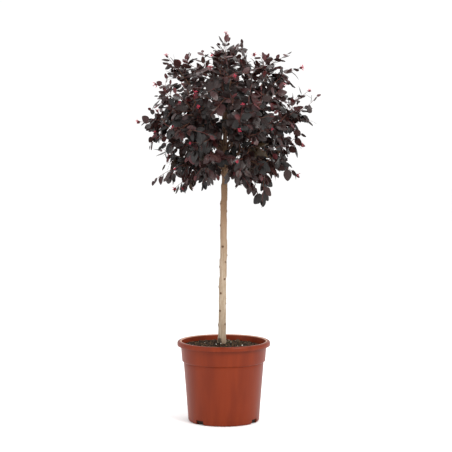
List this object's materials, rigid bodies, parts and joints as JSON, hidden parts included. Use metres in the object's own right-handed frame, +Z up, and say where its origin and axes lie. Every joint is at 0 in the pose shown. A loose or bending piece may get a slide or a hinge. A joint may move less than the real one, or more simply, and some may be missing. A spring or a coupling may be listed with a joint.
{
  "type": "potted chinese fringe flower standard",
  "caption": "Small purple-leaved fringe flower tree with a round leafy crown on a bare stem, in a round plastic nursery pot.",
  "frame": {"origin": "centre of the pot's flat underside", "axes": "+Z up along the pot's axis, +X to the right seen from the front, -Y towards the front"},
  "size_m": [0.5089, 0.4665, 1.087],
  "materials": {
    "pot": "satin",
    "soil": "matte",
    "bark": "matte",
    "twig_bark": "matte",
    "foliage": "satin"
  },
  "bodies": {
    "root": {"pot": "pot", "soil": "soil", "stem": "bark", "bough_top": "twig_bark", "bough_upper_right": "twig_bark", "bough_upper_back": "twig_bark", "bough_upper_left": "twig_bark", "bough_upper_front": "twig_bark", "bough_middle_right": "twig_bark", "bough_middle_back_right": "twig_bark", "bough_middle_back_left": "twig_bark", "bough_middle_left": "twig_bark", "bough_middle_front_left": "twig_bark", "bough_middle_front_right": "twig_bark", "bough_lower_back_right": "twig_bark", "bough_lower_back_left": "twig_bark", "bough_lower_front_left": "twig_bark", "bough_lower_front_right": "twig_bark", "foliage_top": "foliage", "foliage_upper_right": "foliage", "foliage_upper_back": "foliage", "foliage_upper_left": "foliage", "foliage_upper_front": "foliage", "foliage_middle_right": "foliage", "foliage_middle_back_right": "foliage", "foliage_middle_back_left": "foliage", "foliage_middle_left": "foliage", "foliage_middle_front_left": "foliage", "foliage_middle_front_right": "foliage", "foliage_lower_back_right": "foliage", "foliage_lower_back_left": "foliage", "foliage_lower_front_left": "foliage", "foliage_lower_front_right": "foliage"}
  },
  "joints": []
}
